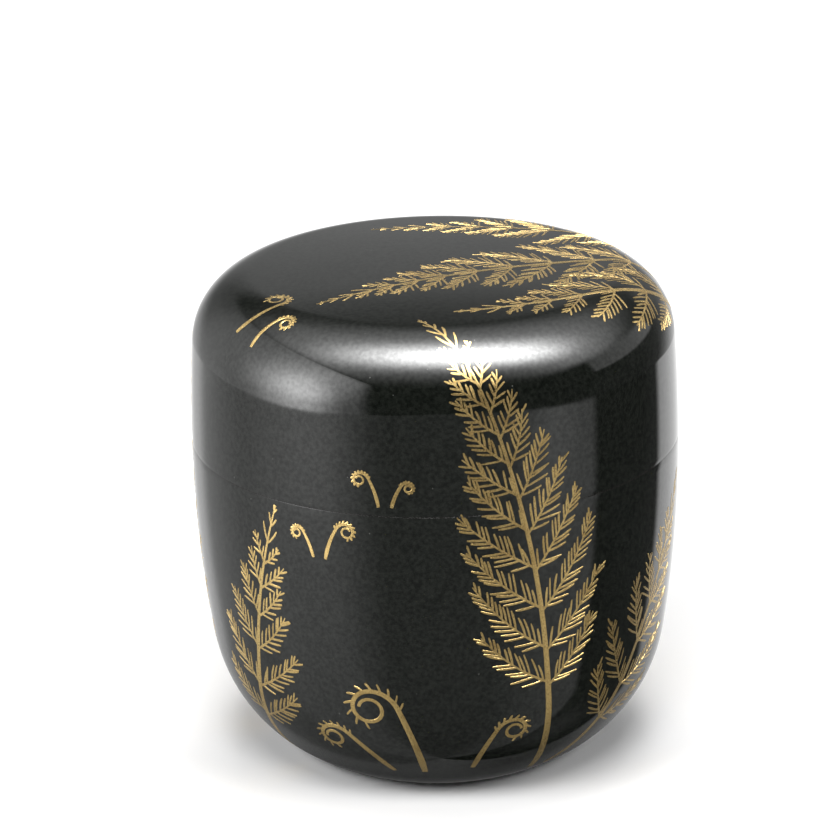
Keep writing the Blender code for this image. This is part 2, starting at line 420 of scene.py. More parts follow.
class Graph:
    """A shader tree that is built by calls, each of which adds a node."""

    def __init__(self, tree: bpy.types.NodeTree) -> None:
        """Take the tree to build in."""
        self.tree = tree

    def node(self, kind: str, **settings: object) -> bpy.types.Node:
        """Add a node.

        Args:
            kind: The node's type, without the leading "ShaderNode".
            **settings: Values of the node's own settings.

        Returns:
            The node.
        """
        made = self.tree.nodes.new("ShaderNode" + kind)
        for name, value in settings.items():
            setattr(made, name, value)
        return made

    def feed(self, socket: bpy.types.NodeSocket, value: Value) -> None:
        """Link a socket to an input, or set the input's own value.

        Args:
            socket: The input.
            value: A socket, a number or a colour.
        """
        if isinstance(value, bpy.types.NodeSocket):
            self.tree.links.new(value, socket)
        elif socket.type == "RGBA":
            socket.default_value = (*value, 1.0)
        else:
            socket.default_value = value

    def math(self, operation: str, *terms: Value) -> bpy.types.NodeSocket:
        """Add a Math node.

        Args:
            operation: The node's operation.
            terms: Its inputs, in order.

        Returns:
            Its result.
        """
        made = self.node("Math", operation=operation)
        for socket, term in zip(made.inputs, terms):
            self.feed(socket, term)
        return made.outputs[0]

    def times(self, *terms: Value) -> bpy.types.NodeSocket:
        """Return the product of two numbers."""
        return self.math("MULTIPLY", *terms)

    def plus(self, *terms: Value) -> bpy.types.NodeSocket:
        """Return the sum of two numbers."""
        return self.math("ADD", *terms)

    def less(self, *terms: Value) -> bpy.types.NodeSocket:
        """Return the first number less the second."""
        return self.math("SUBTRACT", *terms)

    def over(self, *terms: Value) -> bpy.types.NodeSocket:
        """Return the first number divided by the second."""
        return self.math("DIVIDE", *terms)

    def size_of(self, term: Value) -> bpy.types.NodeSocket:
        """Return a number without its sign."""
        return self.math("ABSOLUTE", term)

    def larger(self, *terms: Value) -> bpy.types.NodeSocket:
        """Return the larger of two numbers."""
        return self.math("MAXIMUM", *terms)

    def parts(self, colour: Value) -> tuple[bpy.types.NodeSocket, ...]:
        """Split a colour into its channels.

        Args:
            colour: The colour, or a vector.

        Returns:
            The three channels.
        """
        made = self.node("SeparateColor")
        self.feed(made.inputs[0], colour)
        return tuple(made.outputs[:3])

    def ease(self, value: Value, low: float, high: float) -> bpy.types.NodeSocket:
        """Add a smooth step from 0 at low to 1 at high.

        Args:
            value: The value that is stepped.
            low: Where the result is 0.
            high: Where it is 1. It may lie below low.

        Returns:
            The step.
        """
        made = self.node("MapRange", interpolation_type="SMOOTHSTEP")
        self.feed(made.inputs["Value"], value)
        made.inputs["From Min"].default_value = low
        made.inputs["From Max"].default_value = high
        return made.outputs["Result"]

    def rise(self, value: Value, edge: float, soft: float) -> bpy.types.NodeSocket:
        """Return a smooth step up from 0 to 1 across an edge."""
        return self.ease(value, edge - soft / 2, edge + soft / 2)

    def fall(self, value: Value, edge: float, soft: float) -> bpy.types.NodeSocket:
        """Return a smooth step down from 1 to 0 across an edge."""
        return self.ease(value, edge + soft / 2, edge - soft / 2)

    def blend(self, share: Value, first: Value, second: Value) -> bpy.types.NodeSocket:
        """Mix two numbers.

        Args:
            share: The share of the second.
            first: The first number.
            second: The second number.

        Returns:
            The mixed number.
        """
        made = self.node("Mix", data_type="FLOAT")
        for index, value in ((0, share), (2, first), (3, second)):
            self.feed(made.inputs[index], value)
        return made.outputs[0]

    def rescale(self, value: Value, low: float, high: float) -> bpy.types.NodeSocket:
        """Map 0 to low and 1 to high.

        Args:
            value: The value, from 0 to 1.
            low: The result at 0.
            high: The result at 1.

        Returns:
            The mapped value.
        """
        made = self.node("MapRange")
        self.feed(made.inputs["Value"], value)
        made.inputs["To Min"].default_value = low
        made.inputs["To Max"].default_value = high
        return made.outputs["Result"]

    def mix(self, share: Value, first: Value, second: Value) -> bpy.types.NodeSocket:
        """Mix two colours.

        Args:
            share: The share of the second.
            first: The first colour.
            second: The second colour.

        Returns:
            The mixed colour.
        """
        made = self.node("Mix", data_type="RGBA")
        self.feed(made.inputs[0], share)
        self.feed(made.inputs[6], first)
        self.feed(made.inputs[7], second)
        return made.outputs[2]

    def place(self) -> bpy.types.NodeSocket:
        """Return the place on the object, in metres."""
        return self.node("TexCoord").outputs["Object"]

    def noise(self, place: Value, grain: float, detail: float = 2.0) -> bpy.types.NodeSocket:
        """Add noise.

        Args:
            place: The point that it is read at.
            grain: The width of its features, in metres.
            detail: The number of finer layers in it.

        Returns:
            Its value, from 0 to 1.
        """
        made = self.node("TexNoise")
        self.feed(made.inputs["Vector"], place)
        made.inputs["Scale"].default_value = 1.0 / grain
        made.inputs["Detail"].default_value = detail
        return made.outputs["Fac"]

    def cells(self, place: Value, size: float) -> bpy.types.Node:
        """Add a pattern of cells.

        Args:
            place: The point that it is read at.
            size: The width of a cell, in metres.

        Returns:
            The pattern's node.
        """
        made = self.node("TexVoronoi")
        self.feed(made.inputs["Vector"], place)
        made.inputs["Scale"].default_value = 1.0 / size
        return made

    def bump(self, height: Value, depth: float, strength: float) -> bpy.types.NodeSocket:
        """Add a bump.

        Args:
            height: The height, as a share of the depth.
            depth: The depth in metres.
            strength: How strongly it turns the normal.

        Returns:
            The bumped normal.
        """
        made = self.node("Bump")
        made.inputs["Strength"].default_value = strength
        made.inputs["Distance"].default_value = depth
        self.feed(made.inputs["Height"], height)
        return made.outputs["Normal"]


def new_material(name: str) -> tuple[bpy.types.Material, Graph, bpy.types.Node]:
    """Start a material.

    Args:
        name: The material's name.

    Returns:
        The material, its graph, and its Principled shader.
    """
    material = bpy.data.materials.new(name)
    material.use_nodes = True
    graph = Graph(material.node_tree)
    return material, graph, material.node_tree.nodes["Principled BSDF"]


# ---------------------------------------------------------------- finishes


@dataclass(frozen=True)
class LacquerFinish:
    """Black lacquer, polished by hand: deep, nearly even, with fine dust and thin brown edges."""

    name: str
    edge_heights: tuple[float, ...] = ()
    deep: Colour = (0.0004, 0.0012, 0.0003)
    pale: Colour = (0.0062, 0.0076, 0.0056)
    mottle: float = 0.55 * MM
    edge: Colour = (0.009, 0.007, 0.006)
    dust: Colour = (0.085, 0.088, 0.080)
    dust_spacing: float = 2.6 * MM
    dust_size: float = 0.035
    dust_free: float = 0.62
    edge_reach: float = 0.15 * MM
    wear: float = 3 * MM
    least_wear: float = 0.1
    smear: float = 1.6 * MM
    low_roughness: float = 0.015
    high_roughness: float = 0.040
    low_gloss: float = 0.43
    high_gloss: float = 0.57
    wave: float = 7 * MM
    wave_depth: float = 0.010 * MM
    wave_strength: float = 0.35
    refraction: float = 1.5

    def make(self) -> bpy.types.Material:
        """Build the material.

        Returns:
            The material.
        """
        material, graph, shader = new_material(self.name)
        place = graph.place()
        tone = graph.ease(graph.noise(place, self.mottle, 3.0), 0.25, 0.75)
        colour = graph.mix(tone, self.deep, self.pale)
        colour = graph.mix(self._dust_mask(graph, place), colour, self.dust)
        if self.edge_heights:
            colour = graph.mix(self._edge_mask(graph, place), colour, self.edge)
        graph.feed(shader.inputs["Base Color"], colour)
        smear = graph.noise(place, self.smear, 4.0)
        roughness = graph.rescale(smear, self.low_roughness, self.high_roughness)
        graph.feed(shader.inputs["Roughness"], roughness)
        gloss = graph.rescale(tone, self.low_gloss, self.high_gloss)
        graph.feed(shader.inputs["Specular IOR Level"], gloss)
        wave = graph.noise(place, self.wave, 0.0)
        normal = graph.bump(wave, self.wave_depth, self.wave_strength)
        graph.feed(shader.inputs["Normal"], normal)
        shader.inputs["IOR"].default_value = self.refraction
        return material

    def _dust_mask(self, graph: Graph, place: Value) -> bpy.types.NodeSocket:
        """Mark sparse specks of dust, up to two tenths of a millimetre across.

        Args:
            graph: The graph to build in.
            place: The point on the piece.

        Returns:
            1 on a speck, 0 elsewhere.
        """
        cells = graph.cells(place, self.dust_spacing)
        speck = graph.math("LESS_THAN", cells.outputs["Distance"], self.dust_size)
        chance = graph.parts(cells.outputs["Color"])[0]
        chosen = graph.math("GREATER_THAN", chance, self.dust_free)
        return graph.times(speck, chosen)

    def _edge_mask(self, graph: Graph, place: Value) -> bpy.types.NodeSocket:
        """Mark the edges, where rubbing has thinned the lacquer.

        Args:
            graph: The graph to build in.
            place: The point on the piece.

        Returns:
            1 at the heights of the edges, 0 elsewhere.
        """
        parts = graph.node("SeparateXYZ")
        graph.feed(parts.inputs[0], place)
        mask: Value = 0.0
        for height in self.edge_heights:
            away = graph.size_of(graph.less(parts.outputs[2], height))
            near = graph.ease(away, self.edge_reach, 0.0)
            mask = graph.larger(mask, near)
        worn = graph.rescale(graph.noise(place, self.wear), self.least_wear, 1.0)
        return graph.times(mask, worn)


@dataclass(frozen=True)
class GoldFinish:
    """Gold powder laid on lacquer: grains that glint one by one, thin and browner in places."""

    name: str = "gold_powder"
    bright: Colour = (0.60, 0.43, 0.17)
    thin: Colour = (0.34, 0.225, 0.08)
    grain: float = 0.07 * MM
    metal: float = 0.9
    low_roughness: float = 0.24
    high_roughness: float = 0.36
    grain_depth: float = 0.02 * MM
    grain_strength: float = 0.25
    grain_share: float = 0.35
    patch: float = 2.2 * MM
    patch_share: float = 0.45

    def make(self) -> bpy.types.Material:
        """Build the material.

        Returns:
            The material.
        """
        material, graph, shader = new_material(self.name)
        place = graph.place()
        grains = graph.cells(place, self.grain)
        tone, shine, height = graph.parts(grains.outputs["Color"])
        patches = graph.ease(graph.noise(place, self.patch, 3.0), 0.42, 0.72)
        share = graph.plus(
            graph.times(tone, self.grain_share), graph.times(patches, self.patch_share)
        )
        graph.feed(shader.inputs["Base Color"], graph.mix(share, self.bright, self.thin))
        roughness = graph.rescale(shine, self.low_roughness, self.high_roughness)
        graph.feed(shader.inputs["Roughness"], roughness)
        normal = graph.bump(height, self.grain_depth, self.grain_strength)
        graph.feed(shader.inputs["Normal"], normal)
        shader.inputs["Metallic"].default_value = self.metal
        return material


@dataclass(frozen=True)
class WoodFinish:
    """Plain turned wood with rings about the turning axis and fine pores."""

    name: str = "turned_wood"
    early: Colour = (0.60, 0.41, 0.24)
    late: Colour = (0.40, 0.25, 0.13)
    ring_width: float = 1.8 * MM
    ring_waver: float = 3.0
    pore: float = 0.25 * MM
    pore_depth: float = 0.03 * MM

    def make(self) -> bpy.types.Material:
        """Build the material.

        Returns:
            The material.
        """
        material, graph, shader = new_material(self.name)
        place = graph.place()
        rings = graph.node("TexWave", wave_type="RINGS", rings_direction="Z")
        graph.feed(rings.inputs["Vector"], place)
        rings.inputs["Scale"].default_value = 1.0 / (self.ring_width * math.tau)
        rings.inputs["Distortion"].default_value = self.ring_waver
        rings.inputs["Detail"].default_value = 3.0
        graph.feed(
            shader.inputs["Base Color"], graph.mix(rings.outputs["Fac"], self.early, self.late)
        )
        pores = graph.noise(place, self.pore, 3.0)
        graph.feed(shader.inputs["Roughness"], graph.rescale(pores, 0.5, 0.75))
        graph.feed(shader.inputs["Normal"], graph.bump(pores, self.pore_depth, 0.4))
        return material


@dataclass(frozen=True)
class FloorFinish:
    """Matt white paper."""

    name: str = "white_paper"
    colour: Colour = (0.86, 0.86, 0.86)
    fibre: float = 0.4 * MM

    def make(self) -> bpy.types.Material:
        """Build the material.

        Returns:
            The material.
        """
        material, graph, shader = new_material(self.name)
        fibre = graph.noise(graph.place(), self.fibre, 3.0)
        graph.feed(shader.inputs["Roughness"], graph.rescale(fibre, 0.9, 1.0))
        shader.inputs["Base Color"].default_value = (*self.colour, 1.0)
        shader.inputs["Specular IOR Level"].default_value = 0.0
        return material


# ---------------------------------------------------------------- modelling by hand


def deselect_all() -> None:
    """Leave edit mode and deselect every object."""
    if bpy.context.object and bpy.context.object.mode != "OBJECT":
        bpy.ops.object.mode_set(mode="OBJECT")
    bpy.ops.object.select_all(action="DESELECT")


def select_only(piece: bpy.types.Object) -> None:
    """Make a piece the active and only selected object.

    Args:
        piece: The piece.
    """
    deselect_all()
    piece.select_set(True)
    bpy.context.view_layer.objects.active = piece


def spin_profile(name: str, path: Path, steps: int) -> bpy.types.Object:
    """Turn a closed solid from a profile that starts and ends on the axis.

    Args:
        name: The piece's name.
        path: The profile's points as (r, z).
        steps: Number of steps round the axis.

    Returns:
        The piece, with its origin and place as a CAD node's.
    """
    deselect_all()
    bpy.ops.mesh.primitive_plane_add(size=1.0)
    piece = bpy.context.object
    piece.name = piece.data.name = name
    bpy.ops.object.mode_set(mode="EDIT")
    bpy.ops.mesh.select_all(action="SELECT")
    bpy.ops.mesh.merge(type="CENTER")
    bpy.ops.transform.translate(value=(path[0][0], 0.0, path[0][1]))
    for (r, z), (next_r, next_z) in zip(path, path[1:]):
        bpy.ops.mesh.extrude_region_move(
            TRANSFORM_OT_translate={"value": (next_r - r, 0.0, next_z - z)}
        )
    bpy.ops.mesh.select_all(action="SELECT")
    bpy.ops.mesh.spin(steps=steps, angle=math.tau, center=(0.0, 0.0, 0.0), axis=(0.0, 0.0, 1.0))
    bpy.ops.mesh.select_all(action="SELECT")
    bpy.ops.mesh.remove_doubles(threshold=WELD)
    bpy.ops.mesh.normals_make_consistent(inside=False)
    bpy.ops.object.mode_set(mode="OBJECT")
    bpy.ops.object.shade_smooth_by_angle(angle=SMOOTH_ANGLE)
    return piece


def dress(piece: bpy.types.Object, material: bpy.types.Material) -> None:
    """Give a piece its material.

    Args:
        piece: The piece.
        material: Its only material.
    """
    piece.data.materials.clear()
    piece.data.materials.append(material)


def report(piece: bpy.types.Object) -> None:
    """Log a finished piece with its number of faces."""
    LOG.info("%s: %d faces", piece.name, len(piece.data.polygons))


# ---------------------------------------------------------------- lid and body


@dataclass
class Coats:
    """What lid and body share: a shell and a lining of lacquer over the frame's turned wood."""

    outline: Outline
    coat: float = 0.68 * MM
    coat_seam: float = 0.02 * MM
    arris: float = 0.012 * MM
    turn_steps: int = 256

    def lay(self, name: str, path: Path, finish: LacquerFinish, slot: Slot) -> bpy.types.Object:
        """Build and dress one coat.

        Args:
            name: The piece's name.
            path: The coat's profile as (r, z).
            finish: The coat's finish.
            slot: The coat's slot; not used.

        Returns:
            The piece.
        """
        piece = spin_profile(name, path, self.turn_steps)
        dress(piece, finish.make())
        return piece


@dataclass
class Lid(Coats):
    """The lid: an outer shell of lacquer and a lining, over the turned wood of the frame."""

    top_thickness: float = 3.0 * MM
    inner_round: float = 7.0 * MM
    bore_radius: float = 30.59 * MM
    bore_arris: float = 0.30 * MM

    @property
    def rim_height(self) -> float:
        """Return the height of the lid's rim."""
        return self.outline.joint_height + SEAT_GAP / 2

    def shell_path(self) -> Path:
        """Work out the outer shell's profile.

        Returns:
            The profile, from the crown down the outside and back up the inside.
        """
        outside = self.outline.lid_path(self.rim_height)
        inside = self.outline.lid_path(self.rim_height, self.coat)
        return round_corners(outside + inside[::-1], {len(outside) - 1: self.arris})

    def lining_path(self) -> Path:
        """Work out the lining's profile.

        Returns:
            The profile, from the ceiling's back down to the rim and up the bore.
        """
        rim = self.rim_height
        back = self._inside(self.coat, rim + self.coat)[::-1]
        edge_radius = self.outline.side_radius(rim, self.coat + self.coat_seam)
        flange = [(edge_radius, rim + self.coat), (edge_radius, rim)]
        face = self._inside(0.0, rim)
        corner = len(back) + len(flange)
        return round_corners(back + flange + face, {corner: self.bore_arris})

    def _inside(self, backing: float, rim_height: float) -> Path:
        """Work out an inner profile.

        Args:
            backing: How far it is moved into the wood.
            rim_height: The height that it starts at.

        Returns:
            The profile as (r, z), from the rim to the axis.
        """
        crown = self.outline.crown
        ceiling = Arc(crown.r, crown.z, crown.radius - self.top_thickness)
        corner_r = self.bore_radius - self.inner_round
        rise = math.sqrt((ceiling.radius - self.inner_round) ** 2 - corner_r**2)
        corner = Arc(corner_r, ceiling.z + rise, self.inner_round)
        corner_end = ceiling.angle_towards(corner)
        round_part = corner.points(0.0, corner_end, self.outline.shoulder_steps // 2, -backing)
        top = ceiling.points(corner_end, math.pi / 2, self.outline.crown_steps // 3, -backing)
        top[-1] = (0.0, top[-1][1])
        return [(self.bore_radius + backing, rim_height)] + round_part + top[1:]

    def build(self) -> None:
        """Build and dress the lid's pieces."""
        edges = (self.rim_height,)
        outer = LacquerFinish("lid_black_lacquer", edges)
        shell = self.lay("lid_shell", self.shell_path(), outer, Slot.OUTER_LACQUER)
        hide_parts("lid_outer_lacquer")
        lining = LacquerFinish("lid_lining_black_lacquer", edges)
        inside = self.lay("lid_inside", self.lining_path(), lining, Slot.LINING_LACQUER)
        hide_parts("lid_lining_lacquer")
        for piece in (shell, inside):
            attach(piece, CadBody.LID.value)
            report(piece)


@dataclass
class Body(Coats):
    """The body: an outer shell of lacquer with its foot, and a lining over the upstand."""

    upstand_radius: float = 30.29 * MM
    mouth_radius: float = 28.09 * MM
    floor_height: float = 3.9 * MM
    ring_width: float = 2.0 * MM
    recess_depth: float = 0.5 * MM
    upstand_arris: float = 0.55 * MM
    below_belly: float = 0.01 * MM
    foot_arris: float = 0.15 * MM

    @property
    def ledge_height(self) -> float:
        """Return the height of the ledge that the lid's rim rests on."""
        return self.outline.joint_height - SEAT_GAP / 2

    def shell_path(self) -> Path:
        """Work out the outer shell's profile.

        Returns:
            The profile, from the recess's back up the inside and down the outside.
        """
        coat, ledge = self.coat, self.ledge_height
        recess_radius = self.outline.foot_radius - self.ring_width
        inside = self.outline.body_path(ledge, coat, coat)
        back = [(0.0, self.recess_depth + coat), (recess_radius + coat, self.recess_depth + coat)]
        back.append((recess_radius + coat, coat))
        outside = self.outline.body_path(ledge, 0.0)
        foot = [(recess_radius, 0.0), (recess_radius, self.recess_depth), (0.0, self.recess_depth)]
        top = len(back) + len(inside)
        base = top + len(outside)
        radii = {
            top: self.arris,
            base - 1: self.foot_arris,
            base: self.foot_arris,
            base + 1: self.foot_arris,
        }
        return round_corners(back + inside[::-1] + outside + foot, radii)

    def lining_path(self) -> Path:
        """Work out the lining's profile.

        Returns:
            The profile, from the floor up to the mouth, over the upstand and across the ledge.
        """
        coat, ledge, top = self.coat, self.ledge_height, self.outline.upstand_top
        edge_radius = self.outline.side_radius(ledge, coat + self.coat_seam)
        face = self._inside(0.0)
        over = [(self.upstand_radius, top), (self.upstand_radius, ledge), (edge_radius, ledge)]
        back_radius = self.upstand_radius - coat
        back = [(edge_radius, ledge - coat), (back_radius, ledge - coat), (back_radius, top - coat)]
        mouth = len(face) - 1
        radii = {mouth: self.upstand_arris, mouth + 1: self.upstand_arris}
        return round_corners(face + over + back + self._inside(coat)[::-1], radii)

    def _inside(self, backing: float) -> Path:
        """Work out an inner profile.

        Args:
            backing: How far it is moved into the wood.

        Returns:
            The profile as (r, z), from the axis to the mouth.
        """
        outline = self.outline
        wall_depth = outline.belly_radius - self.mouth_radius - backing
        floor = self.floor_height - backing
        start = outline.foot_round.angle_at_height(floor, wall_depth)
        corner = outline.foot_round.points(
            start, outline.foot_start, outline.foot_steps // 2, wall_depth
        )
        wall_top = outline.belly_height - self.below_belly
        wall = outline.side_path(corner[-1][1], wall_top, wall_depth)
        mouth = (self.mouth_radius + backing, outline.upstand_top - backing)
        return [(0.0, floor)] + corner + wall[1:] + [mouth]

    def build(self) -> None:
        """Build and dress the body's pieces."""
        ledge, mouth = self.ledge_height, self.outline.upstand_top
        outer = LacquerFinish("body_black_lacquer", (ledge, 0.0))
        shell = self.lay("body_shell", self.shell_path(), outer, Slot.OUTER_LACQUER)
        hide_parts("body_outer_lacquer")
        lining = LacquerFinish("body_lining_black_lacquer", (ledge, mouth))
        inside = self.lay("body_inside", self.lining_path(), lining, Slot.LINING_LACQUER)
        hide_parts("body_lining_lacquer")
        for piece in (shell, inside):
            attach(piece, CadBody.BODY.value)
            report(piece)


# ---------------------------------------------------------------- gold drawing


@dataclass
class Strokes:
    """A set of drawn strokes: the points of each, and its half-width at each point."""

    points: np.ndarray
    half_widths: np.ndarray


@dataclass(frozen=True)
class Frond:
    """One fern frond: a bending stem with leaves on both sides, each with fine leaflets."""

    azimuth: float
    along: float
    heading: float
    length: float
    bend: float
    spread: float
    bare: float = 0.22


@dataclass(frozen=True)
class Shoot:
    """One young fern shoot: a stem that ends in a curl, to the left if the curl is positive."""

    azimuth: float
    along: float
    heading: float
    length: float
    curl: float = 520.0
    thickness: float = 1.0


@dataclass(frozen=True)
class Clump:
    """Fronds and shoots that grow from about one place."""

    name: str
    fronds: tuple[Frond, ...]
    shoots: tuple[Shoot, ...] = ()


class Brush:
    """Draws strokes over the caddy's surface, a short step at a time."""

    def __init__(self, outline: Outline) -> None:
        """Take the outline to draw on."""
        self.outline = outline

    def aim(self, azimuth: float, along: float, heading: float) -> tuple[np.ndarray, np.ndarray]:
        """Find where a stroke starts and which way it goes.

        Args:
            azimuth: Degrees from the front.
            along: Distance from the lid's centre, over the surface.
            heading: Degrees from straight up the surface, positive to the right.

        Returns:
            The starting point and the unit direction.
        """
        start, normal = self.outline.project(self.outline.spot(azimuth, along))
        turn = math.radians(azimuth)
        right = np.array([math.cos(turn), math.sin(turn), 0.0])
        up = np.cross(normal, right)
        angle = math.radians(heading)
        return start, up * math.cos(angle) + right * math.sin(angle)

    def turn(self, headings: np.ndarray, normals: np.ndarray, angles: np.ndarray) -> np.ndarray:
        """Turn directions about the surface's normals, positive to the left."""
        cos, sin = np.cos(angles)[..., None], np.sin(angles)[..., None]
        return headings * cos + np.cross(normals, headings) * sin

    def trace(
        self, starts: np.ndarray, headings: np.ndarray, lengths: np.ndarray, turns: np.ndarray
    ) -> tuple[np.ndarray, np.ndarray]:
        """Walk a set of strokes over the surface.

        Args:
            starts: Starting points, one row a stroke.
            headings: Unit directions at the start.
            lengths: Lengths of the strokes.
            turns: Turn to the left at each step, in radians, one row a stroke.

        Returns:
            The points and the directions, with a stroke a row and a step a column.
        """
        steps = turns.shape[1]
        here, normals = self.outline.project(starts)
        ways = headings
        points, directions = [here], [ways]
        for step in range(steps):
            ways = self.turn(ways, normals, turns[:, step])
            here, normals = self.outline.project(here + ways * (lengths / steps)[:, None])
            ways = ways - normals * np.sum(ways * normals, -1, keepdims=True)
            ways = ways / np.linalg.norm(ways, axis=-1, keepdims=True)
            points.append(here)
            directions.append(ways)
        return np.stack(points, 1), np.stack(directions, 1)


@dataclass
class Sprigs:
    """Strokes to be drawn from a parent: where and how each leaves it."""

    starts: list[np.ndarray] = field(default_factory=list)
    headings: list[np.ndarray] = field(default_factory=list)
    lengths: list[float] = field(default_factory=list)
    bends: list[float] = field(default_factory=list)

    def add(self, start: np.ndarray, heading: np.ndarray, length: float, bend: float) -> None:
        """Add one stroke.

        Args:
            start: The point that it starts from.
            heading: The way that it sets off in.
            length: Its length.
            bend: Its whole turn to the left, in radians.
        """
        self.starts.append(start)
        self.headings.append(heading)
        self.lengths.append(length)
        self.bends.append(bend)

    def draw(self, brush: Brush, steps: int) -> tuple[np.ndarray, np.ndarray]:
        """Trace all the strokes.

        Args:
            brush: The brush to trace with.
            steps: Number of steps in each stroke.

        Returns:
            The points and the directions.
        """
        turns = np.repeat(np.array(self.bends)[:, None] / steps, steps, axis=1)
        return brush.trace(
            np.array(self.starts), np.array(self.headings), np.array(self.lengths), turns
        )


@dataclass
class GoldDrawing:
    """The gold drawing of fern fronds and young shoots round the caddy and over its lid."""

    outline: Outline
    clumps: tuple[Clump, ...]
    seed: int = 7
    stem_half_width: float = 0.55 * MM
    rib_half_width: float = 0.18 * MM
    leaflet_half_width: float = 0.16 * MM
    stem_shape: Shape = ((0, 0.04, 0.3, 1), (0.75, 1.0, 0.72, 0.22))
    rib_shape: Shape = ((0, 1), (1.0, 0.5))
    shoot_shape: Shape = ((0, 0.08, 0.4, 0.85, 1.0), (0.7, 0.95, 0.70, 0.50, 0.45))
    leaflet_shape: Shape = ((0, 0.25, 0.6, 0.85, 1), (0.75, 0.95, 1, 1, 0.6))
    stem_turning: Span = (0.3, 1.7)
    leaf_spacing: float = 6.2 * MM
    closest_leaves: float = 0.24
    last_leaf: float = 0.985
    side_offset: float = 0.004
    leaf_angle: float = 56.0
    leaf_closing: float = 22.0
    leaf_bend: Span = (12, 26)
    leaf_taper: float = 0.85
    leaf_rise: Span = (0.72, 2.0)
    leaf_crowding: float = 1.15
    uneven_leaf_angle: Span = (-3, 3)
    uneven_leaf_length: Span = (0.93, 1.07)
    shortest_leaf: float = 3.2 * MM
    shortest_sprig: float = 0.8 * MM
    leaflet_spacing: float = 1.05 * MM
    leaflet_length: float = 3.6 * MM
    leaflet_share: float = 0.32
    leaflet_least: float = 0.5 * MM
    leaflet_start: float = 0.75 * MM
    leaflet_stagger: float = 0.4 * MM
    leaflet_end: float = 0.7 * MM
    leaflet_angle: float = 48.0
    leaflet_closing: float = 18.0
    leaflet_bend: Span = (2, 14)
    leaflet_taper: float = 0.60
    leaflet_rise: Span = (0.62, 2.4)
    uneven_leaflet_angle: Span = (-4, 4)
    uneven_leaflet_length: Span = (0.88, 1.10)
    uneven_leaflet_spacing: Span = (0.94, 1.06)
    uneven_half_width: Span = (0.85, 1.12)
    straight_share: float = 0.40
    straight_turning: float = 0.04
    curl_turning: Span = (0.30, 1.1)
    last_bud: float = 0.80
    bud_angle: float = 58.0
    bud_bend: float = 20.0
    bud_length: float = 0.045
    relief: float = 0.02 * MM
    relief_slope: float = 0.9
    edge_angle: float = 24.0
    stem_steps: int = 56
    leaf_steps: int = 16
    leaflet_steps: int = 4

    def __post_init__(self) -> None:
        """Take up the brush, and seed the hand's unevenness."""
        self.brush = Brush(self.outline)
        self.hand = np.random.default_rng(self.seed)

    def stem_of(self, frond: Frond) -> tuple[np.ndarray, np.ndarray]:
        """Trace a frond's stem.

        Args:
            frond: The frond.

        Returns:
            The stem's points and directions.
        """
        steps = self.stem_steps
        start, heading = self.brush.aim(frond.azimuth, frond.along, frond.heading)
        rate = np.linspace(*self.stem_turning, steps)[None]
        turns = -math.radians(frond.bend) / steps * rate
        points, ways = self.brush.trace(
            start[None], heading[None], np.array([frond.length]), turns
        )
        return points[0], ways[0]

    def leaves_of(self, frond: Frond, stem: np.ndarray, ways: np.ndarray) -> tuple[Sprigs, Sprigs]:
        """Set out the leaves on both sides of a stem.

        Args:
            frond: The frond.
            stem: The stem's points.
            ways: The stem's directions.

        Returns:
            The leaves, and the short plain ones near the tip.
        """
        leaves, plain = Sprigs(), Sprigs()
        at_foot, gain = self.leaf_rise
        share = frond.bare
        while share < self.last_leaf:
            t = (share - frond.bare) / (1 - frond.bare)
            envelope = (1 - t) ** self.leaf_taper * min(1.0, at_foot + gain * t)
            for side in Side:
                index = (share + self.side_offset * side.value) * (len(stem) - 1)
                low = min(int(index), len(stem) - 2)
                here = stem[low] + (stem[low + 1] - stem[low]) * (index - low)
                angle = self.leaf_angle - self.leaf_closing * t
                angle += self.hand.uniform(*self.uneven_leaf_angle)
                normal = self.outline.project(here)[1]
                turn = np.array(math.radians(angle) * side.value)
                heading = self.brush.turn(ways[low], normal, turn)
                length = frond.spread * envelope * self.hand.uniform(*self.uneven_leaf_length)
                bend = -side.value * math.radians(self.hand.uniform(*self.leaf_bend))
                kind = leaves if length > self.shortest_leaf else plain
                kind.add(here, heading, max(length, self.shortest_sprig), bend)
            width = min(1.0, self.leaf_crowding * envelope)
            spacing = self.closest_leaves + (1 - self.closest_leaves) * width
            share += self.leaf_spacing * spacing / frond.length
        return leaves, plain

    def leaflets_of(self, leaves: Sprigs, paths: np.ndarray, ways: np.ndarray) -> Sprigs:
        """Set out the fine leaflets on both sides of each leaf.

        Args:
            leaves: The leaves as set out.
            paths: The leaves' points.
            ways: The leaves' directions.

        Returns:
            The leaflets.
        """
        leaflets = Sprigs()
        at_foot, gain = self.leaflet_rise
        last = paths.shape[1] - 1
        for path, way, length in zip(paths, ways, leaves.lengths):
            size = min(self.leaflet_length, self.leaflet_share * length + self.leaflet_least)
            for side in Side:
                reached = self.leaflet_start
                reached += self.leaflet_stagger if side is Side.LEFT else 0.0
                while reached < length - self.leaflet_end:
                    t = reached / length
                    index = int(round(t * last))
                    taper = (1 - self.leaflet_taper * t) * min(1.0, at_foot + gain * t)
                    normal = self.outline.project(path[index])[1]
                    angle = self.leaflet_angle - self.leaflet_closing * t
                    angle = math.radians(angle + self.hand.uniform(*self.uneven_leaflet_angle))
                    heading = self.brush.turn(way[index], normal, np.array(angle * side.value))
                    reach = size * taper * self.hand.uniform(*self.uneven_leaflet_length)
                    bend = -side.value * math.radians(self.hand.uniform(*self.leaflet_bend))
                    leaflets.add(path[index], heading, reach, bend)
                    uneven = self.hand.uniform(*self.uneven_leaflet_spacing)
                    reached += self.leaflet_spacing * uneven
        return leaflets

